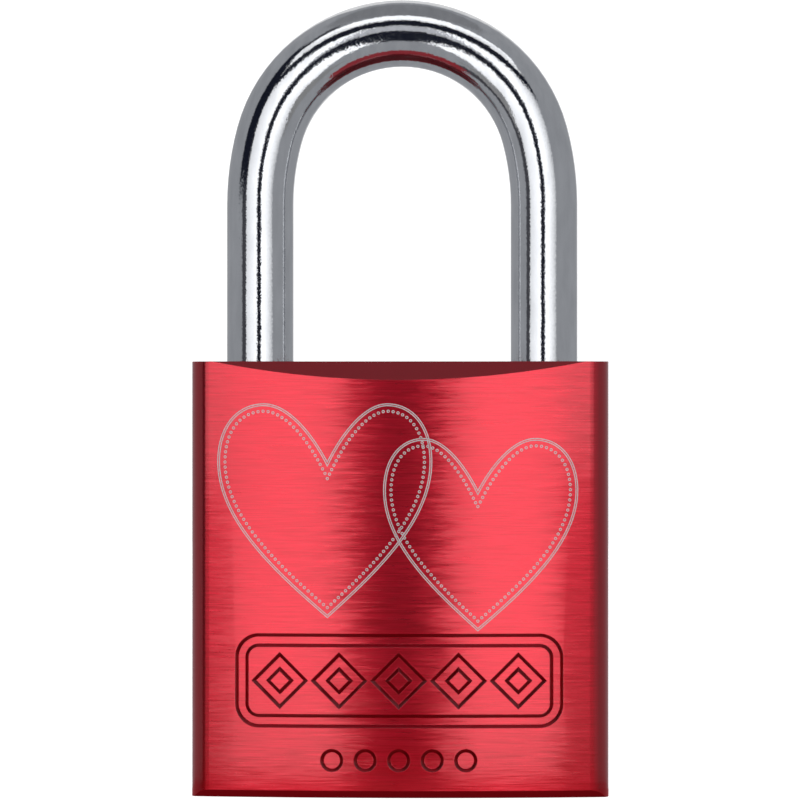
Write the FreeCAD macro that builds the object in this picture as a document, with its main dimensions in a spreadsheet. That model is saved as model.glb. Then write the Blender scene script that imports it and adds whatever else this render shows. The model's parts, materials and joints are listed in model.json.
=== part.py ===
import FreeCAD, Part
import math
import os
import re

import Sketcher
from FreeCAD import Placement, Rotation, Vector

# Keyed padlock with a solid aluminium body and a spring-backed steel shackle.
# Millimetres. The origin is under the middle of the body, +Z runs up through
# the shackle and the front face looks along -Y. The lock is drawn closed, with
# its plug turned to the open position and both locking bolts drawn in.

# ---------------------------------------------------------------- dimensions

SIZES = {
    # Body: a block with bowed faces, flat sides and a flat foot.
    "body_width": 40.0,
    "body_height": 41.7,
    "body_depth": 19.0,
    "face_bow_radius": 91.0,
    "corner_radius": 2.2,
    "foot_chamfer": 0.7,
    "brow_bevel": 1.78,
    "hole_lip": 0.35,
    "side_wall": 2.9,
    # Shackle: round bar with a long heel leg on the left and a short toe leg.
    "shackle_radius": 3.25,
    "shackle_clearance": 0.1,
    "shackle_rise": 35.05,
    "crown_half_angle": 75.0,
    "crown_inset": 0.43,
    "leg_end_chamfer": 0.6,
    "toe_depth": 12.0,
    "toe_hole_gap": 0.5,
    "lift_travel": 12.5,
    "neck_gap": 0.3,
    "heel_flat_depth": 1.3,
    "heel_collar": 2.6,
    "heel_spring_room": 5.6,
    # Locking bolts: bevelled at both ends, one for each leg.
    "bolt_radius": 2.5,
    "bolt_bevel": 1.2,
    "bolt_clearance": 0.05,
    "bolt_drop": 7.5,
    "bolt_recess": 0.3,
    "bolt_throw": 1.95,
    "notch_clearance": 0.25,
    # Cam on the end of the plug: two lobes that rise evenly over a quarter turn.
    "cam_low_radius": 3.5,
    "cam_gap": 0.3,
    "cam_end_gap": 0.3,
    "cam_shaft_radius": 3.0,
    "cavity_clearance": 0.25,
    "cavity_headroom": 1.2,
    "tongue_width": 2.4,
    "tongue_depth": 1.5,
    "tongue_clearance": 0.05,
    # Cylinder housing: a round barrel with a pin block on its right.
    "face_recess": 0.4,
    "housing_length": 26.6,
    "housing_clearance": 0.05,
    "barrel_wall": 1.65,
    "pin_block_width": 6.8,
    "pin_block_corner": 0.8,
    # Plug with its keyway, head flange and retaining clip.
    "plug_radius": 4.9,
    "plug_clearance": 0.05,
    "plug_flange": 0.7,
    "plug_head_length": 1.0,
    "plug_tail_length": 1.6,
    "keyway_width": 2.1,
    "keyway_depth": 3.7,
    "keyway_top": 2.3,
    "ward_reach": 0.7,
    "ward_height": 0.8,
    "keyway_mouth": 0.5,
    "clip_thickness": 0.6,
    "clip_gap": 0.1,
    "clip_groove_depth": 0.7,
    "clip_ring_width": 1.6,
    "clip_mouth": 5.6,
    # Pin stacks.
    "first_pin": 5.1,
    "pin_pitch": 3.9,
    "pin_radius": 1.45,
    "pin_clearance": 0.05,
    "pin_flush_gap": 0.3,
    "pin_floor": -2.6,
    "pin_floor_gap": 0.1,
    "pin_nose": 0.9,
    "pin_edge": 0.25,
    "key_pin_length_1": 4.4,
    "key_pin_length_2": 5.6,
    "key_pin_length_3": 4.8,
    "key_pin_length_4": 6.0,
    "key_pin_length_5": 5.2,
    "driver_gap": 0.1,
    "driver_length": 4.4,
    "driver_spring_length": 4.8,
    "driver_wire_radius": 0.17,
    "spring_side_gap": 0.25,
    "cover_thickness": 0.6,
    "cover_width": 4.4,
    "cover_margin": 1.0,
    # Shackle spring and the dowel and screw hidden inside the body.
    "heel_wire_radius": 0.36,
    "dowel_radius": 1.25,
    "dowel_clearance": 0.05,
    "dowel_inset": 1.7,
    "dowel_reach": 1.1,
    "dowel_back_gap": 0.05,
    "screw_radius": 1.5,
    "screw_clearance": 0.05,
    "screw_point_radius": 1.0,
    "screw_point_length": 1.4,
    "screw_top_gap": 0.3,
    "screw_socket_depth": 1.2,
    "screw_socket_radius": 0.87,
    # Plain marks pressed into the front face.
    "stamp_depth": 0.45,
    "stamp_bevel": 0.3,
    "stamp_stroke": 0.7,
    "stamp_centre_z": 11.2,
    "stamp_frame_width": 30.8,
    "stamp_frame_height": 8.4,
    "stamp_frame_corner": 2.0,
    "stamp_figure_size": 4.6,
    "stamp_figure_pitch": 5.7,
    "stamp_dot_z": 3.6,
    "stamp_dot_radius": 0.8,
    "stamp_dot_pitch": 3.2,
}

PIN_COUNT = 5
STAMP_FIGURES = 5
STAMP_DOTS = 5
HEEL_TURNS = 6
DRIVER_TURNS = 7

# Sizes that follow from the ones above.
LAYOUT = {
    "hole_radius": "shackle_radius + shackle_clearance",
    "leg_x": "body_width / 2 - side_wall - hole_radius",
    "leg_inner_x": "leg_x - shackle_radius",
    "bow_centre_y": "face_bow_radius - body_depth / 2",
    "crown_radius": "leg_x - crown_inset",
    "crown_run": "crown_radius * sin(crown_half_angle)",
    "haunch_radius": "(leg_x - crown_run) / (1 - sin(crown_half_angle))",
    "haunch_x": "haunch_radius - leg_x",
    "crown_z": "body_height + shackle_rise - shackle_radius - crown_radius",
    "haunch_drop": "(haunch_radius - crown_radius) * cos(crown_half_angle)",
    "haunch_z": "crown_z - haunch_drop",
    "toe_z": "body_height - toe_depth",
    "toe_hole_z": "toe_z - toe_hole_gap",
    # Cylinder.
    "plug_bore_radius": "plug_radius + plug_clearance",
    "plug_head_radius": "plug_radius + plug_flange",
    "barrel_radius": "plug_bore_radius + barrel_wall",
    "barrel_bore_radius": "barrel_radius + housing_clearance",
    "housing_top": "face_recess + housing_length",
    "plug_top": "housing_top + plug_tail_length",
    "barrel_bore_top": "plug_top + cam_end_gap / 2",
    "driver_x": "plug_radius + driver_gap",
    "driver_spring_x": "driver_x + driver_length",
    "cover_x": "driver_spring_x + driver_spring_length",
    "pin_block_x": "cover_x + cover_thickness",
    "pin_block_half": "pin_block_width / 2",
    "chamber_radius": "pin_radius + pin_clearance",
    "first_pin_z": "face_recess + first_pin",
    "last_pin_z": "first_pin_z + pin_pitch * %d" % (PIN_COUNT - 1),
    "pin_flush_y": "plug_radius - pin_flush_gap",
    "driver_spring_radius": "chamber_radius - spring_side_gap - driver_wire_radius",
    "cover_z": "first_pin_z - chamber_radius - cover_margin",
    "cover_length": "last_pin_z - first_pin_z + 2 * (chamber_radius + cover_margin)",
    "clip_z": "housing_top + clip_gap",
    "clip_groove_radius": "plug_radius - clip_groove_depth",
    "clip_outer_radius": "clip_groove_radius + clip_ring_width",
    # Bolts and cam.
    "bolt_z": "body_height - bolt_drop",
    "bolt_bore_radius": "bolt_radius + bolt_clearance",
    "bolt_nose_x": "leg_inner_x - shackle_clearance - bolt_recess",
    "bolt_tail_x": "cam_low_radius + cam_gap",
    "bolt_straight": "bolt_nose_x - bolt_tail_x - 2 * bolt_bevel",
    "bolt_end_radius": "bolt_radius - bolt_bevel",
    "notch_half": "bolt_radius + notch_clearance",
    "notch_floor_x": "bolt_nose_x + bolt_throw + notch_clearance",
    "cam_high_radius": "cam_low_radius + bolt_throw",
    "cavity_radius": "cam_high_radius + cavity_clearance",
    "cavity_top": "bolt_z + bolt_radius + cavity_headroom",
    "cam_top": "cavity_top - cam_end_gap",
    "cam_disc_z": "bolt_z - bolt_radius - cam_end_gap / 3",
    "cam_shaft_z": "plug_top + tongue_clearance",
    # Heel leg, its dowel and its spring.
    "dowel_z": "housing_top - dowel_inset",
    "dowel_bore_radius": "dowel_radius + dowel_clearance",
    "dowel_back_x": "barrel_bore_radius + dowel_back_gap",
    "dowel_tip_x": "leg_inner_x + dowel_reach",
    "heel_flat_x": "leg_inner_x + heel_flat_depth",
    "heel_flat_top": "dowel_z + dowel_radius + neck_gap",
    "heel_flat_bottom": "dowel_z - lift_travel - dowel_radius - neck_gap",
    "neck_length": "2 * (dowel_radius + neck_gap)",
    "neck_radius": "leg_x - heel_flat_x",
    "heel_z": "heel_flat_bottom - heel_collar",
    "heel_hole_z": "heel_z - heel_spring_room",
    "heel_spring_radius": "shackle_radius - spring_side_gap - heel_wire_radius",
    # Screw that holds the housing, at the bottom of the toe hole.
    "screw_x": "pin_block_x - screw_radius",
    "screw_tip_z": "housing_top - screw_point_length",
    "screw_top_z": "toe_hole_z - screw_top_gap",
    "screw_shank_z": "housing_top + housing_clearance",
}

doc = FreeCAD.newDocument("keyed_padlock")
X, Y, Z = Vector(1, 0, 0), Vector(0, 1, 0), Vector(0, 0, 1)


def fill_sheet():
    """Write every driving dimension into a spreadsheet, one per row."""
    sheet = doc.addObject("Spreadsheet::Sheet", "dims")
    for row, (name, value) in enumerate(SIZES.items(), start=1):
        sheet.set("A%d" % row, name)
        sheet.set("B%d" % row, str(value))
        sheet.setAlias("B%d" % row, name)
    doc.recompute()
    return sheet


def linked(text):
    """Turn plain size names in an expression into references to their cells."""

    def reference(match):
        word = match.group(0)
        if word in SIZES:
            return "dims." + word
        if word in LAYOUT:
            return "layout." + word
        return word

    return re.sub(r"[a-z][a-z_0-9]*", reference, text)


def fill_layout():
    """Hold the sizes that are worked out from the sheet."""
    layout = doc.addObject("App::VarSet", "layout")
    for name in LAYOUT:
        layout.addProperty("App::PropertyFloat", name, "Layout")
    for name, text in LAYOUT.items():
        layout.setExpression(name, linked(text))
    doc.recompute()
    return layout


sheet = fill_sheet()
layout = fill_layout()


def size(name):
    """The present value of a driving or worked-out size."""
    return sheet.get(name) if name in SIZES else getattr(layout, name)


def bind(item, **expressions):
    """Bind properties to sizes; a double underscore stands for a dot."""
    for path, text in expressions.items():
        item.setExpression(path.replace("__", "."), linked(str(text)))
    return item


# ------------------------------------------------------- primitives, booleans


def place(item, at, along):
    """Turn an object's own Z to a direction and bind its position."""
    item.Placement = Placement(Vector(), Rotation(Z, along))
    for axis, text in zip("xyz", at):
        item.setExpression("Placement.Base." + axis, linked(str(text)))
    return item


def cylinder(name, radius, length, at, along=Z):
    item = doc.addObject("Part::Cylinder", name)
    bind(item, Radius=radius, Height=length)
    return place(item, at, along)


def cone(name, radius, end_radius, length, at, along=Z):
    item = doc.addObject("Part::Cone", name)
    bind(item, Radius1=radius, Radius2=end_radius, Height=length)
    return place(item, at, along)


def box(name, length, width, height, at):
    item = doc.addObject("Part::Box", name)
    bind(item, Length=length, Width=width, Height=height)
    return place(item, at, Z)


def fuse(name, *items):
    item = doc.addObject("Part::MultiFuse", name)
    item.Shapes = list(items)
    item.Refine = True
    return item


def cut(name, base, tool):
    item = doc.addObject("Part::Cut", name)
    item.Base = base
    item.Tool = tool
    return item


def spring(name, radius, wire_radius, length, turns, at, along=Z):
    """Coil spring that fills the stated length, wire included."""
    helix = doc.addObject("Part::Helix", name + "_line")
    coil_length = "(%s) - 2.2 * %s" % (length, wire_radius)
    bind(helix, Radius=radius, Height=coil_length, Pitch="(%s) / %d" % (coil_length, turns))
    lift = Vector(along) * 1.1
    start = ["%s + %s * %s" % (text, step, wire_radius) for text, step in zip(at, lift)]
    place(helix, start, along)
    wire = doc.addObject("Part::Circle", name + "_wire")
    bind(wire, Radius=wire_radius)
    # The coil starts on the helix's own X axis, where its line runs along own Y.
    turn = Rotation(Z, along)
    own_x = turn.multVec(X)
    wire.Placement = Placement(Vector(), turn * Rotation(Z, Y))
    for axis, text, share in zip("xyz", start, own_x):
        wire.setExpression("Placement.Base." + axis, linked("%s + %s * %s" % (text, share, radius)))
    coil = doc.addObject("Part::Sweep", name)
    coil.Sections = [wire]
    coil.Spine = (helix, [])
    coil.Solid = True
    coil.Frenet = True
    return coil


# ---------------------------------------------------------- sketched features


def origin_feature(body, role):
    return next(item for item in body.Origin.OriginFeatures if item.Role == role)


def new_body(name):
    return doc.addObject("PartDesign::Body", name)


def new_sketch(body, name, plane, offset=0, shift_x=0):
    """Sketch on one of the body's origin planes, moved along its normal."""
    sketch = body.newObject("Sketcher::SketchObject", name)
    sketch.AttachmentSupport = [(origin_feature(body, plane), "")]
    sketch.MapMode = "FlatFace"
    bind(sketch, AttachmentOffset__Base__z=offset, AttachmentOffset__Base__x=shift_x)
    return sketch


def dimension(sketch, text, kind, *where):
    """Add a dimensional constraint and bind it to an expression."""
    index = sketch.addConstraint(Sketcher.Constraint(kind, *where, number(text)))
    sketch.setExpression("Constraints[%d]" % index, linked(str(text)))


def number(text):
    """Value of an expression now, used to draw a sketch in its right shape."""
    probe = doc.getObject("probe")
    if probe is None:
        probe = doc.addObject("App::VarSet", "probe")
        probe.addProperty("App::PropertyFloat", "reading", "Probe")
    probe.setExpression("reading", linked(str(text)))
    probe.recompute()
    return probe.reading


def draw_circle(sketch, radius, x=0, y=0):
    centre = Vector(number(x), number(y), 0)
    index = sketch.addGeometry(Part.Circle(centre, Z, number(radius)), False)
    dimension(sketch, radius, "Radius", index)
    dimension(sketch, x, "DistanceX", index, 3)
    dimension(sketch, y, "DistanceY", index, 3)


def draw_polygon(sketch, corners):
    """Closed outline of straight edges through bound corners."""
    points = [Vector(number(x), number(y), 0) for x, y in corners]
    first = None
    for index, point in enumerate(points):
        end = points[(index + 1) % len(points)]
        edge = sketch.addGeometry(Part.LineSegment(point, end), False)
        first = edge if first is None else first
        if edge > first:
            sketch.addConstraint(Sketcher.Constraint("Coincident", edge - 1, 2, edge, 1))
        dimension(sketch, corners[index][0], "DistanceX", edge, 1)
        dimension(sketch, corners[index][1], "DistanceY", edge, 1)
    last = first + len(points) - 1
    sketch.addConstraint(Sketcher.Constraint("Coincident", last, 2, first, 1))


def draw_rectangle(sketch, low_x, low_y, high_x, high_y):
    draw_polygon(sketch, [(low_x, low_y), (high_x, low_y), (high_x, high_y), (low_x, high_y)])


def draw_rounded_rectangle(sketch, half_width, half_height, radius, centre_y):
    """Outline with four equal round corners, centred on the sketch's own Y axis."""
    wide, tall, round_off, middle = (number(t) for t in (half_width, half_height, radius, centre_y))
    inner_x, inner_y = wide - round_off, tall - round_off
    first = sketch.GeometryCount
    for quarter, (side_x, side_y) in enumerate([(1, 1), (-1, 1), (-1, -1), (1, -1)]):
        centre = Vector(side_x * inner_x, middle + side_y * inner_y, 0)
        start = math.radians(90 * quarter)
        arc = Part.ArcOfCircle(Part.Circle(centre, Z, round_off), start, start + math.pi / 2)
        index = sketch.addGeometry(arc, False)
        dimension(sketch, radius, "Radius", index)
        dimension(sketch, "%d * (%s - %s)" % (side_x, half_width, radius), "DistanceX", index, 3)
        reach = "%s + %d * (%s - %s)" % (centre_y, side_y, half_height, radius)
        dimension(sketch, reach, "DistanceY", index, 3)
    for quarter in range(4):
        arc, after = first + quarter, first + (quarter + 1) % 4
        start = sketch.getPoint(arc, 2)
        end = sketch.getPoint(after, 1)
        line = sketch.addGeometry(Part.LineSegment(start, end), False)
        sketch.addConstraint(Sketcher.Constraint("Tangent", arc, 2, line, 1))
        sketch.addConstraint(Sketcher.Constraint("Tangent", line, 2, after, 1))


def pad(body, name, sketch, length, reverse=False, midplane=False):
    feature = body.newObject("PartDesign::Pad", name)
    feature.Profile = sketch
    bind(feature, Length=length)
    feature.Reversed = reverse
    feature.Midplane = midplane
    doc.recompute()
    return feature


def pocket(body, name, sketch, length, reverse=False, midplane=False):
    """Cut a sketch into the body; stop if it removes nothing."""
    before = body.Shape.Volume
    feature = body.newObject("PartDesign::Pocket", name)
    feature.Profile = sketch
    bind(feature, Length=length)
    feature.Reversed = reverse
    feature.Midplane = midplane
    doc.recompute()
    if not body.Shape.Volume < before:
        raise ValueError(name + " removes nothing")
    return feature


def edges_where(shape, test):
    """Names of a shape's edges whose middle point and edge pass a test."""
    names = []
    for index, edge in enumerate(shape.Edges, start=1):
        middle = edge.valueAt((edge.FirstParameter + edge.LastParameter) / 2)
        if test(middle, edge):
            names.append("Edge%d" % index)
    return names


def soften(body, kind, name, amount, test):
    """Fillet or chamfer the edges of the body's present shape that pass a test."""
    base = body.Tip
    feature = body.newObject("PartDesign::" + kind, name)
    feature.Base = (base, edges_where(base.Shape, test))
    bind(feature, **{"Radius" if kind == "Fillet" else "Size": amount})
    doc.recompute()
    return feature


def near(value, target, slack=1e-4):
    return abs(value - target) < slack


# ------------------------------------------------------------------ the parts


def make_lock_body():
    """Solid block with its bores, and the marks pressed into its front."""
    body = new_body("lock_body")
    outline = new_sketch(body, "body_plan", "XY_Plane")
    draw_body_plan(outline)
    pad(body, "body_pad", outline, "body_height")
    half = size("body_width") / 2
    foot = lambda middle, edge: near(middle.z, 0) and edge.BoundBox.XLength > half
    soften(body, "Chamfer", "body_foot", "foot_chamfer", foot)
    upright = lambda middle, edge: near(abs(middle.x), half) and edge.BoundBox.ZLength > half
    soften(body, "Fillet", "body_corners", "corner_radius", upright)

    # A straight bevel across the top of each face: it is widest in the middle
    # and runs out towards the sides, because the face bows away from it.
    bevel = new_sketch(body, "brow_section", "YZ_Plane")
    for side in ("", "-"):
        inner = side + "(body_depth / 2 - brow_bevel)"
        outer = side + "(body_depth / 2 + brow_bevel)"
        above = "body_height + 2 * brow_bevel"
        below = "body_height - 2 * brow_bevel"
        draw_polygon(
            bevel,
            [(outer, below), (outer, above), (inner, above), (inner, "body_height")],
        )
    pocket(body, "brow_cut", bevel, "2 * body_width", midplane=True)

    for name, side, floor in (("heel", -1, "heel_hole_z"), ("toe", 1, "toe_hole_z")):
        hole = new_sketch(body, name + "_hole_plan", "XY_Plane", floor)
        draw_circle(hole, "hole_radius", "%d * leg_x" % side)
        pocket(body, name + "_hole", hole, "body_height", reverse=True)
    rim = lambda middle, edge: near(middle.z, size("body_height")) and edge.Closed
    soften(body, "Chamfer", "hole_lips", "hole_lip", rim)

    bore = new_sketch(body, "cylinder_bore_plan", "XY_Plane")
    draw_circle(bore, "barrel_bore_radius")
    pocket(body, "cylinder_bore", bore, "barrel_bore_top", reverse=True)
    side_bore = new_sketch(body, "pin_block_bore_plan", "XY_Plane")
    reach = "pin_block_half + housing_clearance"
    draw_rectangle(side_bore, 0, "-(%s)" % reach, "pin_block_x + housing_clearance", reach)
    pocket(body, "pin_block_bore", side_bore, "housing_top + housing_clearance", reverse=True)
    far_x = size("pin_block_x") + size("housing_clearance")
    block_corner = lambda middle, edge: near(middle.x, far_x) and edge.BoundBox.ZLength > half
    soften(body, "Fillet", "pin_block_bore_corners", "pin_block_corner + housing_clearance", block_corner)

    cavity = new_sketch(body, "cam_cavity_plan", "XY_Plane")
    draw_circle(cavity, "cavity_radius")
    pocket(body, "cam_cavity", cavity, "cavity_top", reverse=True)

    channel = new_sketch(body, "bolt_channel_section", "YZ_Plane")
    draw_circle(channel, "bolt_bore_radius", 0, "bolt_z")
    pocket(body, "bolt_channel", channel, "2 * leg_x", midplane=True)

    dowel = new_sketch(body, "dowel_section", "YZ_Plane", "-leg_x")
    draw_circle(dowel, "dowel_bore_radius", 0, "dowel_z")
    pocket(body, "dowel_bore", dowel, "leg_x", reverse=True)

    screw = new_sketch(body, "screw_plan", "XY_Plane", "housing_top")
    draw_circle(screw, "screw_radius + screw_clearance", "screw_x")
    pocket(body, "screw_bore", screw, "toe_hole_z - housing_top + screw_clearance", reverse=True)

    marks = body.newObject("PartDesign::Boolean", "stamp_cut")
    marks.setObjects([make_stamp()])
    marks.Type = "Cut"
    doc.recompute()
    soften(body, "Chamfer", "stamp_edges", "stamp_bevel", on_stamped_face)
    return body


def on_stamped_face(middle, edge):
    """Whether an edge lies on the front face, among the stamped marks."""
    reach = math.hypot(middle.x, middle.y - size("bow_centre_y"))
    low = size("stamp_dot_z") - size("stamp_dot_radius") - 0.01
    high = size("stamp_centre_z") + size("stamp_frame_height") / 2 + 0.01
    across = size("stamp_frame_width") / 2 + 0.01
    inside = low < middle.z < high and abs(middle.x) < across
    return middle.y < 0 and inside and near(reach, size("face_bow_radius"), 1e-3)


def draw_body_plan(sketch):
    """Two shallow arcs for the faces, joined by two straight sides."""
    half_width, half_depth = size("body_width") / 2, size("body_depth") / 2
    bow, centre_y = size("face_bow_radius"), size("bow_centre_y")
    swing = math.asin(half_width / bow)
    corners = []
    for side in (-1, 1):
        middle = side * math.pi / 2
        circle = Part.Circle(Vector(0, -side * centre_y, 0), Z, bow)
        arc = sketch.addGeometry(Part.ArcOfCircle(circle, middle - swing, middle + swing), False)
        corners.append(arc)
        dimension(sketch, "face_bow_radius", "Radius", arc)
        dimension(sketch, 0, "DistanceX", arc, 3)
        dimension(sketch, "%d * bow_centre_y" % -side, "DistanceY", arc, 3)
        for end, reach in ((1, side * -half_width), (2, side * half_width)):
            sign = 1 if sketch.getPoint(arc, end).x > 0 else -1
            dimension(sketch, "%d * body_width / 2" % sign, "DistanceX", arc, end)
    front, back = corners
    for front_end, back_end in ((2, 1), (1, 2)):
        start = sketch.getPoint(front, front_end)
        end = sketch.getPoint(back, back_end)
        line = sketch.addGeometry(Part.LineSegment(start, end), False)
        sketch.addConstraint(Sketcher.Constraint("Coincident", front, front_end, line, 1))
        sketch.addConstraint(Sketcher.Constraint("Coincident", line, 2, back, back_end))


def make_stamp():
    """Solid that presses a frame, a row of diamonds and a row of dots into the face."""
    body = new_body("stamp_die")
    plan = new_sketch(body, "stamp_plan", "XZ_Plane", "body_depth / 2 - body_depth / 4")
    frame_wide, frame_tall = "stamp_frame_width / 2", "stamp_frame_height / 2"
    draw_rounded_rectangle(plan, frame_wide, frame_tall, "stamp_frame_corner", "stamp_centre_z")
    draw_rounded_rectangle(
        plan,
        "(%s - stamp_stroke)" % frame_wide,
        "(%s - stamp_stroke)" % frame_tall,
        "(stamp_frame_corner - stamp_stroke)",
        "stamp_centre_z",
    )
    for index in range(STAMP_FIGURES):
        x = "%s * stamp_figure_pitch" % (index - (STAMP_FIGURES - 1) / 2)
        # The stroke is measured square to the diamond's sloping sides.
        for inset in ("0", "stamp_stroke * sqrt(2)"):
            reach = "(stamp_figure_size / 2 - %s)" % inset
            draw_polygon(
                plan,
                [
                    (x, "stamp_centre_z - " + reach),
                    (x + " + " + reach, "stamp_centre_z"),
                    (x, "stamp_centre_z + " + reach),
                    (x + " - " + reach, "stamp_centre_z"),
                ],
            )
    for index in range(STAMP_DOTS):
        x = "%s * stamp_dot_pitch" % (index - (STAMP_DOTS - 1) / 2)
        draw_circle(plan, "stamp_dot_radius", x, "stamp_dot_z")
    pad(body, "stamp_pad", plan, "body_depth / 2")
    core = new_sketch(body, "stamp_floor_plan", "XY_Plane", "-body_height")
    draw_circle(core, "face_bow_radius - stamp_depth", 0, "bow_centre_y")
    pocket(body, "stamp_floor", core, "3 * body_height", reverse=True)
    return body


def make_shackle():
    """Bent bar: two straight legs, two wide haunches and a round crown."""
    body = new_body("shackle")
    path = new_sketch(body, "shackle_path", "XZ_Plane")
    draw_shackle_path(path)
    section = new_sketch(body, "shackle_section", "XY_Plane", "heel_z")
    draw_circle(section, "shackle_radius", "-leg_x")
    doc.recompute()
    bar = body.newObject("PartDesign::AdditivePipe", "shackle_bar")
    bar.Profile = section
    bar.Spine = (path, ["Edge%d" % (index + 1) for index in range(path.GeometryCount)])
    doc.recompute()

    ends = (size("heel_z"), size("toe_z"))
    at_end = lambda middle, edge: edge.Closed and any(near(middle.z, end) for end in ends)
    soften(body, "Chamfer", "leg_ends", "leg_end_chamfer", at_end)

    for name, side in (("heel", -1), ("toe", 1)):
        notch = new_sketch(body, name + "_notch_section", "XZ_Plane")
        mouth = "%d * (leg_inner_x - shackle_radius)" % side
        floor = "%d * notch_floor_x" % side
        draw_rectangle(notch, mouth, "bolt_z - notch_half", floor, "bolt_z + notch_half")
        pocket(body, name + "_notch", notch, "4 * shackle_radius", midplane=True)

    flat = new_sketch(body, "heel_flat_section", "XZ_Plane")
    mouth = "shackle_radius - leg_inner_x"
    draw_rectangle(flat, "-heel_flat_x", "heel_flat_bottom", mouth, "heel_flat_top")
    pocket(body, "heel_flat", flat, "4 * shackle_radius", midplane=True)

    # The flat ends in a turned neck, so that the lifted shackle can swing round.
    neck = new_sketch(body, "neck_section", "XZ_Plane", shift_x="-leg_x")
    draw_rectangle(
        neck, "neck_radius", "heel_flat_bottom", "2 * shackle_radius", "heel_flat_bottom + neck_length"
    )
    before = body.Shape.Volume
    groove = body.newObject("PartDesign::Groove", "heel_neck")
    groove.Profile = neck
    groove.ReferenceAxis = (neck, ["V_Axis"])
    groove.Angle = 360
    doc.recompute()
    if not body.Shape.Volume < before:
        raise ValueError("heel_neck removes nothing")
    return body


def draw_shackle_path(sketch):
    """Centre line from the heel's end over the crown to the toe's end."""
    leg, crown, haunch = size("leg_x"), size("crown_radius"), size("haunch_radius")
    crown_z, haunch_z, haunch_x = size("crown_z"), size("haunch_z"), size("haunch_x")
    lean = math.radians(90 - size("crown_half_angle"))

    def arc(x, z, radius, start, end):
        circle = Part.Circle(Vector(x, z, 0), Z, radius)
        return sketch.addGeometry(Part.ArcOfCircle(circle, start, end), False)

    def leg_line(x, low, high):
        return sketch.addGeometry(Part.LineSegment(Vector(x, low, 0), Vector(x, high, 0)), False)

    heel = leg_line(-leg, size("heel_z"), haunch_z)
    left = arc(haunch_x, haunch_z, haunch, math.pi - lean, math.pi)
    top = arc(0, crown_z, crown, lean, math.pi - lean)
    right = arc(-haunch_x, haunch_z, haunch, 0, lean)
    toe = leg_line(leg, size("toe_z"), haunch_z)
    joins = (
        ("Coincident", heel, 2, left, 2),
        ("Tangent", left, 1, top, 2),
        ("Tangent", top, 1, right, 2),
        ("Coincident", right, 1, toe, 2),
    )
    for join in joins:
        sketch.addConstraint(Sketcher.Constraint(*join))
    for line, side, low in ((heel, -1, "heel_z"), (toe, 1, "toe_z")):
        for end, level in ((1, low), (2, "haunch_z")):
            dimension(sketch, "%d * leg_x" % side, "DistanceX", line, end)
            dimension(sketch, level, "DistanceY", line, end)
    dimension(sketch, 0, "DistanceX", top, 3)
    dimension(sketch, "crown_z", "DistanceY", top, 3)
    dimension(sketch, "crown_radius", "Radius", top)
    for haunch_arc in (left, right):
        dimension(sketch, "haunch_z", "DistanceY", haunch_arc, 3)


def make_housing():
    """Barrel and pin block in one piece, bored for the plug and the pins."""
    body = new_body("cylinder_housing")
    barrel = new_sketch(body, "barrel_plan", "XY_Plane", "face_recess")
    draw_circle(barrel, "barrel_radius")
    pad(body, "barrel_pad", barrel, "housing_length")
    block = new_sketch(body, "pin_block_plan", "XY_Plane", "face_recess")
    draw_rectangle(block, 0, "-pin_block_half", "pin_block_x", "pin_block_half")
    pad(body, "pin_block_pad", block, "housing_length")
    far_x, half_length = size("pin_block_x"), size("housing_length") / 2
    far_corner = lambda middle, edge: near(middle.x, far_x) and edge.BoundBox.ZLength > half_length
    soften(body, "Fillet", "pin_block_corners", "pin_block_corner", far_corner)

    bore = new_sketch(body, "plug_bore_plan", "XY_Plane")
    draw_circle(bore, "plug_bore_radius")
    pocket(body, "plug_bore", bore, "body_height", reverse=True)
    counterbore = new_sketch(body, "plug_head_plan", "XY_Plane", "face_recess")
    draw_circle(counterbore, "plug_head_radius + plug_clearance")
    pocket(body, "plug_counterbore", counterbore, "plug_head_length + plug_clearance", reverse=True)

    chamber = new_sketch(body, "chamber_section", "YZ_Plane")
    draw_circle(chamber, "chamber_radius", 0, "first_pin_z")
    drilled = pocket(body, "chamber", chamber, "2 * pin_block_x", reverse=True)
    repeat_up(body, "chambers", drilled)

    seat = new_sketch(body, "cover_seat_plan", "XY_Plane", "cover_z")
    draw_rectangle(seat, "cover_x", "-cover_width / 2", "pin_block_x + cover_width", "cover_width / 2")
    pocket(body, "cover_seat", seat, "cover_length", reverse=True)

    dimple = new_sketch(body, "screw_dimple_plan", "XY_Plane", "screw_tip_z")
    draw_circle(dimple, "screw_point_radius + screw_clearance", "screw_x")
    pocket(body, "screw_dimple", dimple, "2 * screw_point_length", reverse=True)
    return body


def repeat_up(body, name, feature):
    """Repeat a pin chamber up the cylinder, one for each pin stack."""
    pattern = body.newObject("PartDesign::LinearPattern", name)
    pattern.Originals = [feature]
    pattern.Direction = (origin_feature(body, "Z_Axis"), [""])
    pattern.Occurrences = PIN_COUNT
    bind(pattern, Length="last_pin_z - first_pin_z")
    body.Tip = pattern
    doc.recompute()
    return pattern


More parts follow.
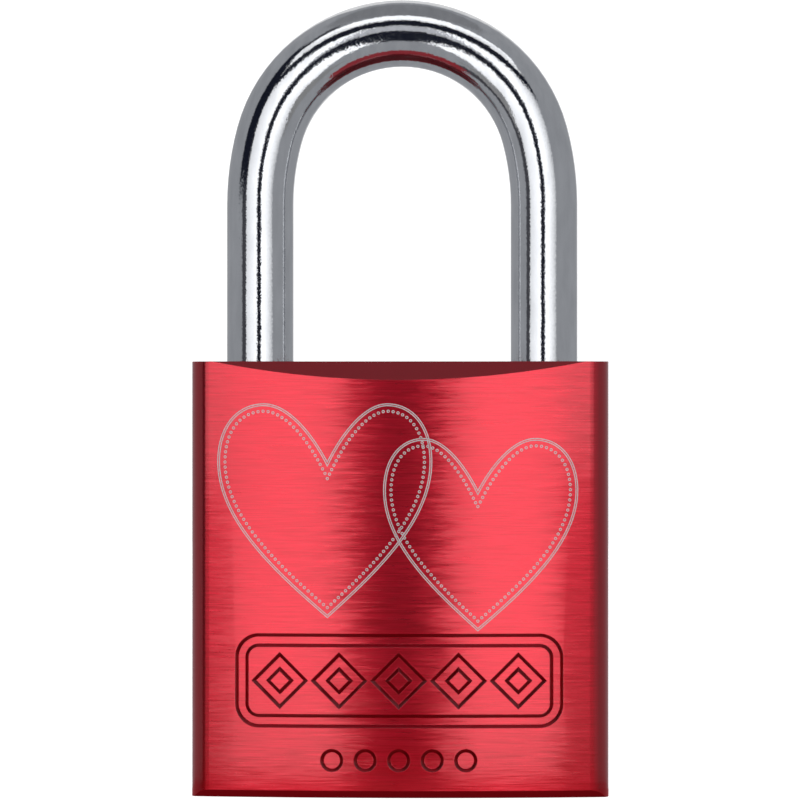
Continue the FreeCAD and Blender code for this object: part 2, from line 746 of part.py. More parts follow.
def make_plug():
    """Turning core, with its pin chambers facing the back in the open position."""
    body = new_body("plug")
    shank = new_sketch(body, "plug_plan", "XY_Plane", "face_recess")
    draw_circle(shank, "plug_radius")
    pad(body, "plug_shank", shank, "plug_top - face_recess")
    head = new_sketch(body, "plug_flange_plan", "XY_Plane", "face_recess")
    draw_circle(head, "plug_head_radius")
    pad(body, "plug_flange", head, "plug_head_length")

    keyway = new_sketch(body, "keyway_plan", "XY_Plane", "face_recess")
    draw_keyway(keyway)
    pocket(body, "keyway", keyway, "housing_top - face_recess - plug_head_length", reverse=True)

    chamber = new_sketch(body, "plug_chamber_section", "XZ_Plane", "-pin_floor")
    draw_circle(chamber, "chamber_radius", 0, "first_pin_z")
    drilled = pocket(body, "plug_chamber", chamber, "2 * plug_radius")
    repeat_up(body, "plug_chambers", drilled)

    tail = new_sketch(body, "tail_slot_plan", "XY_Plane", "plug_top - tongue_depth")
    half = "(tongue_width / 2 + tongue_clearance)"
    draw_rectangle(tail, "-2 * plug_radius", "-" + half, "2 * plug_radius", half)
    pocket(body, "tail_slot", tail, "2 * tongue_depth", reverse=True)

    seat = new_sketch(body, "clip_groove_plan", "XY_Plane", "clip_z - clip_gap / 2")
    draw_circle(seat, "clip_groove_radius")
    draw_circle(seat, "2 * plug_radius")
    pocket(body, "clip_groove", seat, "clip_thickness + clip_gap", reverse=True)
    return body


def draw_keyway(sketch):
    """Slot for the key blade, with one ward standing in from each side."""
    half = "keyway_width / 2"
    low, high = "-keyway_depth", "keyway_top"
    right_ward, left_ward = "keyway_mouth", "-keyway_depth / 2"
    draw_polygon(
        sketch,
        [
            ("-%s" % half, low),
            (half, low),
            (half, right_ward),
            ("%s - ward_reach" % half, right_ward),
            ("%s - ward_reach" % half, right_ward + " + ward_height"),
            (half, right_ward + " + ward_height"),
            (half, high),
            ("-%s" % half, high),
            ("-%s" % half, left_ward + " + ward_height"),
            ("ward_reach - %s" % half, left_ward + " + ward_height"),
            ("ward_reach - %s" % half, left_ward),
            ("-%s" % half, left_ward),
        ],
    )


def make_pin_stacks():
    """Key pins in the plug, driver pins and springs in the housing."""
    made = []
    for index in range(1, PIN_COUNT + 1):
        level = "first_pin_z + pin_pitch * %d" % (index - 1)
        length = "key_pin_length_%d" % index
        inner = "pin_flush_y - " + length
        name = "key_pin_%d" % index
        made.append(
            fuse(
                name,
                cone(name + "_nose", "pin_radius / 3", "pin_radius", "pin_nose", (0, inner, level), Y),
                cylinder(
                    name + "_shank",
                    "pin_radius",
                    length + " - pin_nose - pin_edge",
                    (0, inner + " + pin_nose", level),
                    Y,
                ),
                cone(
                    name + "_edge",
                    "pin_radius",
                    "pin_radius - pin_edge",
                    "pin_edge",
                    (0, "pin_flush_y - pin_edge", level),
                    Y,
                ),
            )
        )
        name = "driver_pin_%d" % index
        made.append(
            fuse(
                name,
                cone(
                    name + "_edge",
                    "pin_radius - pin_edge",
                    "pin_radius",
                    "pin_edge",
                    ("driver_x", 0, level),
                    X,
                ),
                cylinder(
                    name + "_shank",
                    "pin_radius",
                    "driver_length - pin_edge",
                    ("driver_x + pin_edge", 0, level),
                    X,
                ),
            )
        )
        made.append(
            spring(
                "driver_spring_%d" % index,
                "driver_spring_radius",
                "driver_wire_radius",
                "driver_spring_length",
                DRIVER_TURNS,
                ("driver_spring_x", "0", level),
                X,
            )
        )
    return made


def make_spring_cover():
    """Strip pressed over the open ends of the pin chambers."""
    corner = ("cover_x", "-cover_width / 2 + housing_clearance", "cover_z + housing_clearance")
    return box(
        "spring_cover",
        "cover_thickness",
        "cover_width - 2 * housing_clearance",
        "cover_length - 2 * housing_clearance",
        corner,
    )


def make_plug_clip():
    """Open ring that snaps into the plug's groove behind the housing."""
    ring = cylinder("clip_disc", "clip_outer_radius", "clip_thickness", (0, 0, "clip_z"))
    below = "clip_z - clip_thickness / 2"
    eye = cylinder("clip_eye", "clip_groove_radius", "2 * clip_thickness", (0, 0, below))
    mouth = box(
        "clip_gap_block",
        "2 * clip_outer_radius",
        "clip_mouth",
        "2 * clip_thickness",
        (0, "-clip_mouth / 2", below),
    )
    return cut("plug_clip", cut("clip_ring", ring, eye), mouth)


def make_cam():
    """Two-lobed cam on a stub shaft, with a tongue that the plug's slot turns."""
    low, rise = size("cam_low_radius"), size("bolt_throw")
    steps = 12

    def rim(share, quarter):
        """Point on the rim: the radius rises and falls evenly, quarter by quarter."""
        lift = share if quarter % 2 == 0 else 1 - share
        angle = math.pi / 2 * (quarter + share)
        radius = low + rise * lift
        return Vector(radius * math.cos(angle), radius * math.sin(angle), 0)

    edges = []
    for quarter in range(4):
        points = [rim(step / steps, quarter) for step in range(steps + 1)]
        curve = Part.BSplineCurve()
        curve.interpolate(points)
        edges.append(curve.toShape())
    disc = Part.Face(Part.Wire(edges)).extrude(Z * (size("cam_top") - size("cam_disc_z")))
    disc.translate(Z * size("cam_disc_z"))
    shaft_z = size("cam_shaft_z")
    shaft_length = size("cam_disc_z") - shaft_z
    shaft = Part.makeCylinder(size("cam_shaft_radius"), shaft_length, Z * shaft_z)
    width, depth = size("tongue_width"), size("tongue_depth")
    reach = math.sqrt(size("clip_groove_radius") ** 2 - width**2 / 4) - size("tongue_clearance")
    corner = Vector(-reach, -width / 2, size("plug_top") - depth + size("tongue_clearance"))
    tongue = Part.makeBox(2 * reach, width, depth, corner)
    cam = doc.addObject("Part::Feature", "cam")
    cam.Shape = disc.fuse([shaft, tongue]).removeSplitter()
    cam.Placement = Placement()
    return cam


def make_bolts():
    """Bevelled bolts that the cam pushes out into the shackle's notches."""
    made = []
    for name, side in (("heel_bolt", -1), ("toe_bolt", 1)):
        along = X * side
        tail_at = ("%d * bolt_tail_x" % side, 0, "bolt_z")
        shank_at = ("%d * (bolt_tail_x + bolt_bevel)" % side, 0, "bolt_z")
        nose_at = ("%d * (bolt_nose_x - bolt_bevel)" % side, 0, "bolt_z")
        made.append(
            fuse(
                name,
                cone(name + "_tail", "bolt_end_radius", "bolt_radius", "bolt_bevel", tail_at, along),
                cylinder(name + "_shank", "bolt_radius", "bolt_straight", shank_at, along),
                cone(name + "_nose", "bolt_radius", "bolt_end_radius", "bolt_bevel", nose_at, along),
            )
        )
    return made


def make_shackle_spring():
    """Spring under the heel leg that lifts the freed shackle."""
    at = ("-leg_x", "0", "heel_hole_z")
    return spring(
        "shackle_spring", "heel_spring_radius", "heel_wire_radius", "heel_spring_room", HEEL_TURNS, at
    )


def make_dowel():
    """Dowel between the housing and the heel leg that keeps the shackle in."""
    length = "dowel_tip_x - dowel_back_x - pin_edge"
    return fuse(
        "shackle_dowel",
        cylinder("dowel_shank", "dowel_radius", length, ("-dowel_back_x", 0, "dowel_z"), -X),
        cone(
            "dowel_tip",
            "dowel_radius",
            "dowel_radius - pin_edge",
            "pin_edge",
            ("-dowel_tip_x + pin_edge", 0, "dowel_z"),
            -X,
        ),
    )


def make_screw():
    """Socket screw at the bottom of the toe hole; its point enters the housing."""
    shank_length = "screw_top_z - screw_shank_z"
    shank = cylinder("screw_shank", "screw_radius", shank_length, ("screw_x", 0, "screw_shank_z"))
    point = cylinder(
        "screw_point",
        "screw_point_radius",
        "screw_shank_z - screw_tip_z - screw_clearance",
        ("screw_x", 0, "screw_tip_z + screw_clearance"),
    )
    socket = doc.addObject("Part::Prism", "screw_socket")
    socket.Polygon = 6
    bind(socket, Circumradius="screw_socket_radius", Height="2 * screw_socket_depth")
    place(socket, ("screw_x", 0, "screw_top_z - screw_socket_depth"), Z)
    return cut("housing_screw", fuse("screw_blank", shank, point), socket)


# -------------------------------------------------------------- build, export


def check(nodes):
    """Stop if any object failed to compute or any piece has a bad shape."""
    for item in doc.Objects:
        if {"Invalid", "Error"} & set(item.State):
            raise ValueError("%s did not compute: %s" % (item.Label, item.State))
    for node in nodes:
        if node.Shape.isNull() or not node.Shape.isValid() or not node.Shape.Solids:
            raise ValueError(node.Label + " has no valid solid")


def main():
    nodes = [
        make_lock_body(),
        make_shackle(),
        make_housing(),
        make_plug(),
        make_spring_cover(),
        make_plug_clip(),
        make_cam(),
        make_shackle_spring(),
        make_dowel(),
        make_screw(),
    ]
    nodes += make_bolts()
    nodes += make_pin_stacks()
    doc.recompute()
    check(nodes)
    os.makedirs("parts", exist_ok=True)
    for node in nodes:
        node.Shape.exportStep("parts/%s.step" % node.Label)
        print("%-18s %10.3f mm3  solids %d" % (node.Label, node.Shape.Volume, len(node.Shape.Solids)))


main()
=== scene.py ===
import json
import math

import bpy
import numpy as np
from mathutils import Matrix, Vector


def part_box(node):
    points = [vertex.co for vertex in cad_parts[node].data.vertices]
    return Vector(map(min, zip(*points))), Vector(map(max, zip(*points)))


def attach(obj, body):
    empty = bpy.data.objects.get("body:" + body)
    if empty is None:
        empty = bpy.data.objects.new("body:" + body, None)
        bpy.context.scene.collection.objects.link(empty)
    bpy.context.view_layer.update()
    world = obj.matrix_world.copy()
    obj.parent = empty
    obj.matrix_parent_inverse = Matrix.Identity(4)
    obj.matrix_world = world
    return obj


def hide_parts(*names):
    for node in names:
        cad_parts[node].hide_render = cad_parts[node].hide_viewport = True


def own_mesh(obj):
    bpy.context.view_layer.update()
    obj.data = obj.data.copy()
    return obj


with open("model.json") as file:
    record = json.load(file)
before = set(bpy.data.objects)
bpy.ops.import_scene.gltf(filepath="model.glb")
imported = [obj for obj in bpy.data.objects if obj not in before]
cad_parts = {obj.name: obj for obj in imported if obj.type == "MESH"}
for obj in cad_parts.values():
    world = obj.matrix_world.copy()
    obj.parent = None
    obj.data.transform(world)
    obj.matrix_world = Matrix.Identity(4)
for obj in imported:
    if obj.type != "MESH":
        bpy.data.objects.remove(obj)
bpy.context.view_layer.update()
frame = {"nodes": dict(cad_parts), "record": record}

# Keyed padlock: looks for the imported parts, the engraving on its front face,
# and a small studio. Metres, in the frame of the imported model: the body stands
# on z = 0 and its front face looks along -Y.

MM = 0.001
BODY_LOW, BODY_HIGH = (Vector(corner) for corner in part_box("lock_body"))
BODY_TOP = BODY_HIGH.z
FRONT = BODY_LOW.y


# ------------------------------------------------------------------ materials

EDGE_ROUNDING = 0.1 * MM
NOISE_MIDDLE = (0.3, 0.7)
ALONG_X = (1, 0, 0)
ALONG_Z = (0, 0, 1)

# Anodised red: the brushed faces from dark to light streaks, the upright corners darkened
# as painted shade, and the milled ends and bevels.
STREAK_DARK = (0.64, 0.006, 0.022)
STREAK_LIGHT = (0.82, 0.009, 0.036)
# Painted shade: the darker red that the upright corners get where they turn away from the lights.
CORNER_SHADE_RED = (0.5, 0.005, 0.018)
MILLED_RED = (0.31, 0.003, 0.012)
# How far a surface leans up or down, and how far it faces front or back, as shares of
# its normal: where one kind of surface passes into the next.
BRUSHED_RISE = (0.3, 0.1)
LYING_RISE = (0.8, 0.95)
FLAT_FACING = (0.8, 0.94)
CORNER_ROUGHNESS = 0.48
FACE_ROUGHNESS = 0.3
ROUGHNESS_SPREAD = 0.03
# How far the streaks lean the normal, sideways and up.
STREAK_SWAY = 0.014
BAND_SWAY = 0.005
HAIR_NOD = 0.06
COAT_NOD = 0.02

# Chrome: cells of its grain per metre, and how far the grain and waves lean the normal.
CHROME_CELLS = (7000, 7000, 7000)
CHROME_GRAIN = 0.03
CHROME_WAVE = 0.006


class Shader:
    """A short way to write a material's node tree."""

    def __init__(self, name):
        self.material = bpy.data.materials.new(name)
        self.material.use_nodes = True
        self.tree = self.material.node_tree
        self.surface = self.tree.nodes["Principled BSDF"]

    def node(self, kind, settings=None, **inputs):
        """Add a node; settings are its properties, inputs its sockets."""
        item = self.tree.nodes.new("ShaderNode" + kind)
        for key, value in (settings or {}).items():
            setattr(item, key, value)
        for key, value in inputs.items():
            self.feed(item, key.replace("_", " "), value)
        return item

    def feed(self, item, socket, value):
        """Set a socket, or link it when the value is another node's output."""
        target = item.inputs[int(socket)] if socket.isdigit() else item.inputs[socket]
        if isinstance(value, bpy.types.NodeSocket):
            self.tree.links.new(value, target)
        else:
            target.default_value = value

    def set(self, **inputs):
        for key, value in inputs.items():
            self.feed(self.surface, key.replace("_", " "), value)

    def math(self, operation, first, second):
        item = self.tree.nodes.new("ShaderNodeMath")
        item.operation = operation
        self.feed(item, "0", first)
        self.feed(item, "1", second)
        return item.outputs[0]

    def vector_math(self, operation, first, second=None):
        item = self.tree.nodes.new("ShaderNodeVectorMath")
        item.operation = operation
        self.feed(item, "0", first)
        if second is not None:
            self.feed(item, "Scale" if operation == "SCALE" else "1", second)
        return item.outputs[0]

    def noise(self, stretch, detail=2.0, roughness=0.5, seed=0.0):
        """Noise in object space, with a number of cells per metre on each axis."""
        place = self.node("TexCoord").outputs["Object"]
        mapped = self.node("Mapping", Vector=place, Scale=stretch, Location=(seed, seed, seed))
        texture = self.node(
            "TexNoise", Vector=mapped.outputs[0], Scale=1.0, Detail=detail, Roughness=roughness
        )
        return texture.outputs["Fac"]

    def ramp(self, value, start, end, low=0.0, high=1.0):
        """Go from low to high, and no further, as a value goes from start to end."""
        item = self.node(
            "MapRange", Value=value, From_Min=start, From_Max=end, To_Min=low, To_Max=high
        )
        return item.outputs[0]

    def spread(self, value, low, high):
        """Map the useful middle of a noise onto a range."""
        return self.ramp(value, *NOISE_MIDDLE, low, high)

    def tint(self, value, dark, light):
        """Blend two colours by a value."""
        return self.blend(value, dark, (*light, 1))

    def blend(self, value, dark, light):
        """Blend from a colour to another one or to another node's colour."""
        mix = self.node("Mix", {"data_type": "RGBA"})
        self.tree.links.new(value, mix.inputs[0])
        mix.inputs[6].default_value = (*dark, 1)
        self.feed(mix, "7", light)
        return mix.outputs[2]

    def surface_normal(self):
        return self.node("NewGeometry").outputs["Normal"]

    def tilt(self, normal, *pushes):
        """Normal leaned a little along each (axis, signed amount) pair."""
        for axis, amount in pushes:
            lean = self.vector_math("SCALE", axis, amount)
            normal = self.vector_math("ADD", normal, lean)
        return self.vector_math("NORMALIZE", normal)


def anodised_aluminium():
    """Red anodised aluminium. The front and back are brushed across, in short fine
    streaks; the upright corners are duller and painted a darker red as painted shade where
    they turn away from the lights, and the milled ends and bevels are even and a deeper red."""
    shader = Shader("anodised_red_brushed")
    hair = shader.noise((240, 240, 8500), detail=3, roughness=0.6)
    streak = shader.noise((330, 330, 5200), detail=3, roughness=0.65, seed=7.3)
    band = shader.noise((110, 110, 1400), detail=2, seed=3.1)
    rounded = shader.node("Bevel", {"samples": 4}, Radius=EDGE_ROUNDING).outputs[0]

    normal = shader.node("SeparateXYZ", Vector=shader.surface_normal())
    rise = shader.math("ABSOLUTE", normal.outputs["Z"], 0.0)
    facing = shader.math("ABSOLUTE", normal.outputs["Y"], 0.0)
    brushed = shader.ramp(rise, *BRUSHED_RISE)
    flat = shader.ramp(facing, *FLAT_FACING)
    lying = shader.ramp(rise, *LYING_RISE)
    standing = shader.math("SUBTRACT", 1.0, lying)

    sway = shader.math(
        "ADD",
        shader.spread(streak, -STREAK_SWAY, STREAK_SWAY),
        shader.spread(band, -BAND_SWAY, BAND_SWAY),
    )
    sway = shader.math("MULTIPLY", sway, brushed)
    nod = shader.math("MULTIPLY", shader.spread(hair, -HAIR_NOD, HAIR_NOD), brushed)
    coat_nod = shader.math("MULTIPLY", shader.spread(hair, -COAT_NOD, COAT_NOD), brushed)
    streaked = shader.tint(shader.spread(hair, 0, 1), STREAK_DARK, STREAK_LIGHT)
    # Painted shade: the colour darkens towards the corner red as the surface turns from facing
    # front or back.
    shaded_upright_colour = shader.blend(flat, CORNER_SHADE_RED, streaked)
    dullness = shader.ramp(flat, 0.0, 1.0, CORNER_ROUGHNESS, FACE_ROUGHNESS)
    mottle = shader.spread(streak, -ROUGHNESS_SPREAD, ROUGHNESS_SPREAD)
    shader.set(
        Base_Color=shader.blend(brushed, MILLED_RED, shaded_upright_colour),
        Metallic=1.0,
        Roughness=shader.math("ADD", dullness, mottle),
        Anisotropic=0.9,
        Normal=shader.tilt(rounded, (ALONG_X, sway), (ALONG_Z, nod)),
        Tangent=shader.node("CombineXYZ", X=lying, Y=0.0, Z=standing).outputs[0],
        Coat_Weight=0.9,
        Coat_Roughness=0.14,
        Coat_IOR=1.58,
        Coat_Normal=shader.tilt(rounded, (ALONG_X, sway), (ALONG_Z, coat_nod)),
    )
    return shader.material


def chrome():
    """Chrome plate over a bar that was ground, with a very fine grain left in it."""
    shader = Shader("chrome_plate")
    grain = shader.noise(CHROME_CELLS, detail=2, roughness=0.7)
    other_grain = shader.noise(CHROME_CELLS, detail=2, seed=11.0)
    wave = shader.noise((900, 900, 260), detail=2, seed=5.0)
    sway = shader.math(
        "ADD",
        shader.spread(grain, -CHROME_GRAIN, CHROME_GRAIN),
        shader.spread(wave, -CHROME_WAVE, CHROME_WAVE),
    )
    nod = shader.spread(other_grain, -CHROME_GRAIN, CHROME_GRAIN)
    shader.set(
        Base_Color=shader.tint(shader.spread(wave, 0, 1), (0.58, 0.59, 0.61), (0.66, 0.67, 0.69)),
        Metallic=1.0,
        Roughness=shader.spread(grain, 0.05, 0.11),
        Normal=shader.tilt(shader.surface_normal(), (ALONG_X, sway), (ALONG_Z, nod)),
    )
    return shader.material


def metal(name, dark, light, roughness, cells, lean):
    """A turned, cast or ground metal: colour, gloss and surface follow one grain."""
    shader = Shader(name)
    grain = shader.noise(cells, detail=3, roughness=0.6)
    patch = shader.noise((240, 240, 240), detail=2, seed=2.0)
    shader.set(
        Base_Color=shader.tint(shader.spread(patch, 0, 1), dark, light),
        Metallic=1.0,
        Roughness=shader.spread(grain, *roughness),
        Normal=shader.tilt(shader.surface_normal(), (ALONG_Z, shader.spread(grain, -lean, lean))),
    )
    return shader.material


def engraving():
    """Bare aluminium that the laser left: pale, dull and slightly mottled."""
    shader = Shader("laser_engraving")
    grain = shader.noise((6000, 6000, 6000), detail=2)
    shader.set(
        Base_Color=shader.tint(shader.spread(grain, 0, 1), (0.42, 0.36, 0.37), (0.58, 0.52, 0.53)),
        Metallic=0.35,
        Roughness=shader.spread(grain, 0.42, 0.6),
    )
    return shader.material


def pale_floor():
    """Plain white paper, a little self-lit so that it stays even."""
    shader = Shader("pale_floor")
    fibre = shader.noise((400, 400, 400), detail=3)
    shader.set(
        Base_Color=shader.tint(fibre, (0.60, 0.60, 0.60), (0.63, 0.63, 0.63)),
        Roughness=0.9,
        Emission_Color=(1, 1, 1, 1),
        Emission_Strength=0.9,
    )
    return shader.material


# The plain metals: darker and lighter colour, range of the roughness, cells of the
# grain per metre on each axis, and how far the grain leans the normal.
METALS = {
    "brass": ((0.66, 0.46, 0.19), (0.78, 0.58, 0.28), (0.22, 0.36), (900, 900, 4200), 0.03),
    "nickel_silver": ((0.60, 0.55, 0.46), (0.70, 0.66, 0.57), (0.2, 0.32), (4200, 900, 900), 0.03),
    "spring_steel": ((0.40, 0.40, 0.41), (0.52, 0.52, 0.54), (0.2, 0.34), (2500, 2500, 2500), 0.03),
    "bolt_steel": ((0.50, 0.50, 0.51), (0.60, 0.60, 0.62), (0.16, 0.28), (3800, 900, 900), 0.03),
    "black_steel": (
        (0.035, 0.035, 0.04), (0.06, 0.06, 0.07), (0.34, 0.5), (2500, 2500, 2500), 0.03
    ),
    "zinc": ((0.42, 0.42, 0.44), (0.55, 0.56, 0.58), (0.34, 0.5), (2200, 2200, 2200), 0.05),
}
FINISHES = {slot: metal(slot, *look) for slot, look in METALS.items()}
FINISHES["anodised_aluminium"] = anodised_aluminium()
FINISHES["chromed_steel"] = chrome()


def dress_cad_nodes():
    """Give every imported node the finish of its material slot."""
    for part in frame["record"]["subparts"]:
        item = frame["nodes"][part["node"]]
        item.data.materials.clear()
        item.data.materials.append(FINISHES[part["material_slot"]])


# -------------------------------------------------------------- driver springs

# Each driver pin pushes its spring shorter, towards the cover at the spring's far end.
DRIVER_SPRINGS = 5


def flexing_spring(number):
    """Stand for a driver spring with a copy of it, attached to the case, with a mesh of its own."""
    name = "driver_spring_%d" % number
    node = frame["nodes"][name]
    spring = node.copy()
    spring.data = node.data.copy()
    spring.name = name + "_flexing"
    bpy.context.scene.collection.objects.link(spring)
    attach(spring, "case")
    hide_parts(name)
    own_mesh(spring)


# ------------------------------------------------------------------ engraving

# One side of a heart, from its tip round the lobe to the cleft, as cubic Bezier
# curves in shares of half the width and of the height.
HEART_SIDE = (
    ((0.0, 0.0), (0.45, 0.20), (1.0, 0.45), (1.0, 0.73)),
    ((1.0, 0.73), (1.0, 0.90), (0.82, 1.0), (0.58, 1.0)),
    ((0.58, 1.0), (0.36, 1.0), (0.14, 0.86), (0.0, 0.72)),
)
# Two hearts that overlap: tip across and up, width left and right of it, height.
HEARTS = {
    "heart_left": (-6.82 * MM, 17.35 * MM, 10.48 * MM, 9.9 * MM, 20.2 * MM),
    "heart_right": (7.55 * MM, 16.1 * MM, 8.9 * MM, 9.43 * MM, 18.15 * MM),
}
LINE_WIDTH = 0.09 * MM
LINE_OFFSET = 0.085 * MM
DOT_OFFSET = 0.62 * MM
DOT_PITCH = 0.5 * MM
DOT_RADIUS = 0.15 * MM
DOT_HOLE = 0.07 * MM
PROUD = 0.012 * MM
SUNK = 0.04 * MM
RAY_START = 5 * MM
CURVE_STEPS = 40
SIDE_POINTS = 90
DOT_SIDES = 12


def bezier(points, steps):
    """Points along one cubic curve, without its last one."""
    p0, p1, p2, p3 = (np.array(point) for point in points)
    t = np.linspace(0, 1, steps, endpoint=False)[:, None]
    return (1 - t) ** 3 * p0 + 3 * (1 - t) ** 2 * t * p1 + 3 * (1 - t) * t**2 * p2 + t**3 * p3


def heart_side(half_width, height):
    """The right side of a heart about its own axis, tip first."""
    pieces = [bezier(curve, CURVE_STEPS) for curve in HEART_SIDE]
    cleft = HEART_SIDE[-1][-1]
    return np.vstack([*pieces, cleft]) * (half_width, height)


def on_axis(end, before):
    """Where the line through a side's last two points meets the heart's axis."""
    slope = (end - before) / (end[0] - before[0])
    return end - slope * end[0]


def inset(side, distance):
    """Shift a heart's side inwards, and end it on the heart's own axis again."""
    along = np.gradient(side, axis=0)
    along /= np.linalg.norm(along, axis=1)[:, None]
    moved = side + distance * np.column_stack([-along[:, 1], along[:, 0]])
    kept = moved[moved[:, 0] > 0]
    return np.vstack([on_axis(kept[0], kept[1]), kept, on_axis(kept[-1], kept[-2])])


def even(points, count):
    """The same line with a number of evenly spaced points."""
    steps = np.linalg.norm(np.diff(points, axis=0), axis=1)
    walked = np.concatenate([[0], np.cumsum(steps)])
    at = np.linspace(0, walked[-1], count)
    return np.column_stack([np.interp(at, walked, points[:, axis]) for axis in range(2)])


def whole(sides, distance, count):
    """Loop round the heart, shifted inwards: up its right side and down its left."""
    left, right = (even(inset(side, distance), count) for side in sides)
    return np.vstack([right, left[::-1][1:-1] * (-1, 1)])


def face_depth(x, z):
    """Where the body's front face is, straight behind a point in front of it."""
    start = Vector((x, FRONT - RAY_START, z))
    hit, place, normal, index = frame["nodes"]["lock_body"].ray_cast(start, Vector((0, 1, 0)))
    if not hit:
        raise ValueError("the engraving runs off the front face")
    return place.y


def ring_mesh(vertices, faces, outer, inner):
    """Add a closed band between two loops, standing just proud of the face."""
    first = len(vertices)
    count = len(outer)
    for loop, height in ((outer, SUNK), (outer, -PROUD), (inner, -PROUD), (inner, SUNK)):
        vertices += [(x, face_depth(x, z) + height, z) for x, z in loop]
    for row in range(4):
        low, high = first + row * count, first + (row + 1) % 4 * count
        for step in range(count):
            after = (step + 1) % count
            faces.append((low + step, low + after, high + after, high + step))


def engrave(name, tip_x, tip_z, left, right, height):
    """Double line round a heart, with a row of small rings inside it."""
    sides = [heart_side(width, height) for width in (left, right)]
    tip = np.array([tip_x, tip_z])
    vertices, faces = [], []
    for middle in (-LINE_OFFSET, LINE_OFFSET):
        outer = whole(sides, middle - LINE_WIDTH / 2, SIDE_POINTS) + tip
        inner = whole(sides, middle + LINE_WIDTH / 2, SIDE_POINTS) + tip
        ring_mesh(vertices, faces, outer, inner)
    length = np.linalg.norm(np.diff(sides[0], axis=0), axis=1).sum()
    dots = whole(sides, DOT_OFFSET, round(length / DOT_PITCH)) + tip
    turn = np.linspace(0, 2 * math.pi, DOT_SIDES, endpoint=False)
    circle = np.column_stack([np.cos(turn), np.sin(turn)])
    for dot in dots:
        ring_mesh(vertices, faces, dot + circle * DOT_RADIUS, dot + circle * DOT_HOLE)
    mesh = bpy.data.meshes.new(name)
    mesh.from_pydata(vertices, [], faces)
    mesh.validate()
    mesh.materials.append(ENGRAVING)
    piece = bpy.data.objects.new(name, mesh)
    bpy.context.scene.collection.objects.link(piece)
    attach(piece, "case")


# --------------------------------------------------------------------- studio

CAMERA_DISTANCE = 0.6
CAMERA_HEIGHT = BODY_TOP - 3.7 * MM
CAMERA_TURN = math.radians(2.0)
CAMERA_SIDE = -0.2 * MM
LENS = 278.7
AIM = Vector((0, 0, 45 * MM))
SOFTBOX_DISTANCE = 0.9


def make_camera():
    camera = bpy.data.cameras.new("camera")
    camera.lens = LENS
    camera.clip_start = 0.01
    item = bpy.data.objects.new("camera", camera)
    bpy.context.scene.collection.objects.link(item)
    across, back = math.sin(CAMERA_TURN), -math.cos(CAMERA_TURN)
    item.location = (CAMERA_DISTANCE * across + CAMERA_SIDE, CAMERA_DISTANCE * back, CAMERA_HEIGHT)
    item.rotation_euler = (math.pi / 2, 0, CAMERA_TURN)
    bpy.context.scene.camera = item


def heading(azimuth, elevation):
    """Unit vector from the object; azimuth 0 is straight in front, positive to +X."""
    turn, rise = math.radians(azimuth), math.radians(elevation)
    level = math.cos(rise)
    return Vector((math.sin(turn) * level, -math.cos(turn) * level, math.sin(rise)))


def softbox(name, azimuths, elevations, radiance, falloff=None, late=1.0):
    """Area light that fills a window of directions as seen from the object.

    A falloff gives the shares of the radiance at the left and the right side. With
    late above 1, more of the change comes near the right side."""
    left, right = azimuths
    low, high = elevations
    light = bpy.data.lights.new(name, "AREA")
    light.shape = "RECTANGLE"
    light.size = 2 * SOFTBOX_DISTANCE * math.tan(math.radians(right - left) / 2)
    light.size_y = 2 * SOFTBOX_DISTANCE * math.tan(math.radians(high - low) / 2)
    light.energy = radiance * math.pi * light.size * light.size_y
    if falloff:
        light.use_nodes = True
        tree = light.node_tree
        place = tree.nodes.new("ShaderNodeNewGeometry")
        split = tree.nodes.new("ShaderNodeSeparateXYZ")
        ramp = tree.nodes.new("ShaderNodeMapRange")
        ramp.inputs["To Min"].default_value, ramp.inputs["To Max"].default_value = falloff
        tree.links.new(place.outputs["Parametric"], split.inputs[0])
        bend = tree.nodes.new("ShaderNodeMath")
        bend.operation = "POWER"
        bend.inputs[1].default_value = late
        tree.links.new(split.outputs["X"], bend.inputs[0])
        tree.links.new(bend.outputs[0], ramp.inputs["Value"])
        tree.links.new(ramp.outputs[0], tree.nodes["Emission"].inputs["Strength"])
    item = bpy.data.objects.new(name, light)
    bpy.context.scene.collection.objects.link(item)
    towards = heading((left + right) / 2, (low + high) / 2)
    item.location = AIM + towards * SOFTBOX_DISTANCE
    item.rotation_euler = towards.to_track_quat("Z", "Y").to_euler()
    item.visible_camera = False
    return item


def make_lights():
    softbox("softbox_left", (-47, -8.5), (-28, 27), 1.4, (0.5, 1.0))
    softbox("softbox_right", (4.5, 44), (-28, 27), 1.4, (1.0, 0.15), late=2.0)
    softbox("softbox_top", (-38, 38), (45, 62), 1.25)
    # The light from behind is only for the floor and dull surfaces: no streaks.
    softbox("softbox_back", (140, 220), (0, 60), 0.9).visible_glossy = False


# What the walls of the room show, one over the other: azimuths, elevations,
# softness of the edges in degrees, and colour.
WALL = (0.38, 0.39, 0.41)
NAVY = (0.010, 0.012, 0.022)
WALL_PATCHES = (
    ((-181, 181), (62, 91), 8, (0.27, 0.275, 0.29)),
    ((-62, -46), (-60, 60), 5, (0.07, 0.07, 0.08)),
    ((-77, -46), (5, 50), 4, NAVY),
    ((-47, 50), (25, 47), 2, NAVY),
    ((-10, 6), (-28, 47), 1.5, NAVY),
    ((-10, 6), (7, 25), 3, (0.62, 0.63, 0.66)),
    ((157, 181), (-20, 50), 3, (0.9, 0.9, 0.9)),
    ((-181, -157), (-20, 50), 3, (0.9, 0.9, 0.9)),
)


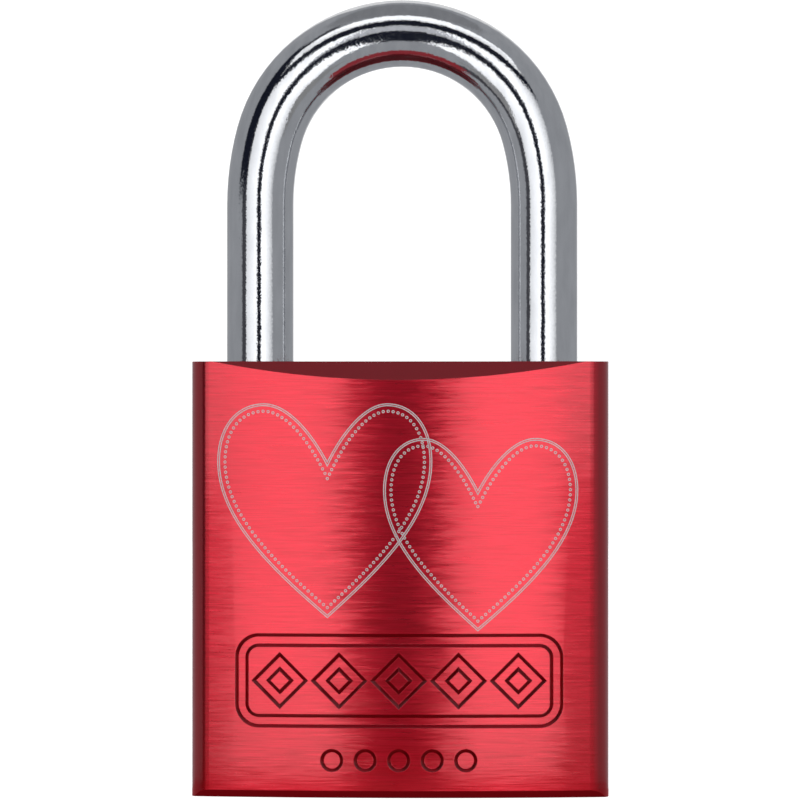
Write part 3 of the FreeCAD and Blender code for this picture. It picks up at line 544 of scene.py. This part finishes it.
def make_world():
    """Grey room with dark gaps between the lights."""
    world = bpy.data.worlds.new("studio")
    world.use_nodes = True
    tree = world.node_tree

    def node(kind, *inputs, **settings):
        item = tree.nodes.new("ShaderNode" + kind)
        for key, value in settings.items():
            setattr(item, key, value)
        for socket, value in inputs:
            if isinstance(value, bpy.types.NodeSocket):
                tree.links.new(value, item.inputs[socket])
            else:
                item.inputs[socket].default_value = value
        return item

    def math_node(operation, *values):
        return node("Math", *enumerate(values), operation=operation).outputs[0]

    def ramp(value, low, high):
        """Rise from 0 to 1 as the value passes from low to high."""
        inputs = (("Value", value), ("From Min", low), ("From Max", high))
        return node("MapRange", *inputs, interpolation_type="SMOOTHSTEP").outputs[0]

    split = node("SeparateXYZ", (0, node("TexCoord").outputs["Generated"]))
    x, y, z = split.outputs
    azimuth = math_node("DEGREES", math_node("ARCTAN2", x, math_node("MULTIPLY", y, -1.0)))
    elevation = math_node("DEGREES", math_node("ARCSINE", z))
    colour = (*WALL, 1)
    for azimuths, elevations, soft, shade in WALL_PATCHES:
        mask = 1.0
        for angle, (low, high) in ((azimuth, azimuths), (elevation, elevations)):
            mask = math_node("MULTIPLY", mask, ramp(angle, low - soft / 2, low + soft / 2))
            mask = math_node("MULTIPLY", mask, ramp(angle, high + soft / 2, high - soft / 2))
        mix = node("Mix", (0, mask), (6, colour), (7, (*shade, 1)), data_type="RGBA")
        colour = mix.outputs[2]
    tree.links.new(colour, tree.nodes["Background"].inputs["Color"])
    bpy.context.scene.world = world


def make_floor():
    """White sweep: a floor that curves up into a wall behind the object."""
    reach, wall, bend = 2.5, 2.5, 0.8
    steps = 24
    profile = [(-reach, 0.0)]
    for step in range(steps + 1):
        turn = math.pi / 2 * step / steps
        profile.append((reach - bend + bend * math.sin(turn), bend - bend * math.cos(turn)))
    profile.append((reach, wall))
    vertices = [(x, y, z) for x in (-reach, reach) for y, z in profile]
    count = len(profile)
    faces = [(i, i + 1, i + 1 + count, i + count) for i in range(count - 1)]
    mesh = bpy.data.meshes.new("floor")
    mesh.from_pydata(vertices, [], faces)
    mesh.polygons.foreach_set("use_smooth", [True] * len(faces))
    mesh.materials.append(pale_floor())
    item = bpy.data.objects.new("floor", mesh)
    bpy.context.scene.collection.objects.link(item)
    item.visible_glossy = False


# Cards near the object that only reflections show: corners in order, in mm, and glow.
# The one at the foot, just under the floor, is painted shade: a dim red glow that the
# body's foot reflects in place of a shaded table top tinged by the body's own colour.
# The two in front dim the outer ends of the softboxes low on the body.
# Painted shade: the glow of the card at the foot, seen only in reflections.
FOOT_SHADE_GLOW = (0.31, 0.02, 0.03)
GREY_GLOW = (0.3, 0.3, 0.3)
CARDS = {
    "foot_shade_card": (
        ((-45, 8, -0.1), (45, 8, -0.1), (45, -40, -0.1), (-45, -40, -0.1)), FOOT_SHADE_GLOW
    ),
    "flag_left": (
        ((-120, -100, -40), (-60, -100, -40), (-60, -100, 28), (-120, -100, 28)), GREY_GLOW
    ),
    "flag_right": (
        ((48, -100, -40), (110, -100, -40), (110, -100, 30), (48, -100, 30)), GREY_GLOW
    ),
}


def make_card(name, corners, glow):
    mesh = bpy.data.meshes.new(name)
    points = [[measure * MM for measure in corner] for corner in corners]
    mesh.from_pydata(points, [], [(0, 1, 2, 3)])
    shader = Shader(name)
    shader.set(Base_Color=(0, 0, 0, 1), Emission_Color=(*glow, 1), Emission_Strength=1.0)
    mesh.materials.append(shader.material)
    item = bpy.data.objects.new(name, mesh)
    bpy.context.scene.collection.objects.link(item)
    item.visible_camera = False
    item.visible_shadow = False
    item.visible_diffuse = False


# ----------------------------------------------------------------------- make

make_camera()
make_lights()
make_world()
make_floor()
for card, (corners, glow) in CARDS.items():
    make_card(card, corners, glow)
bpy.context.scene.view_settings.view_transform = "Standard"

dress_cad_nodes()
for spring_number in range(1, DRIVER_SPRINGS + 1):
    flexing_spring(spring_number)
ENGRAVING = engraving()
for heart, measures in HEARTS.items():
    engrave(heart, *measures)
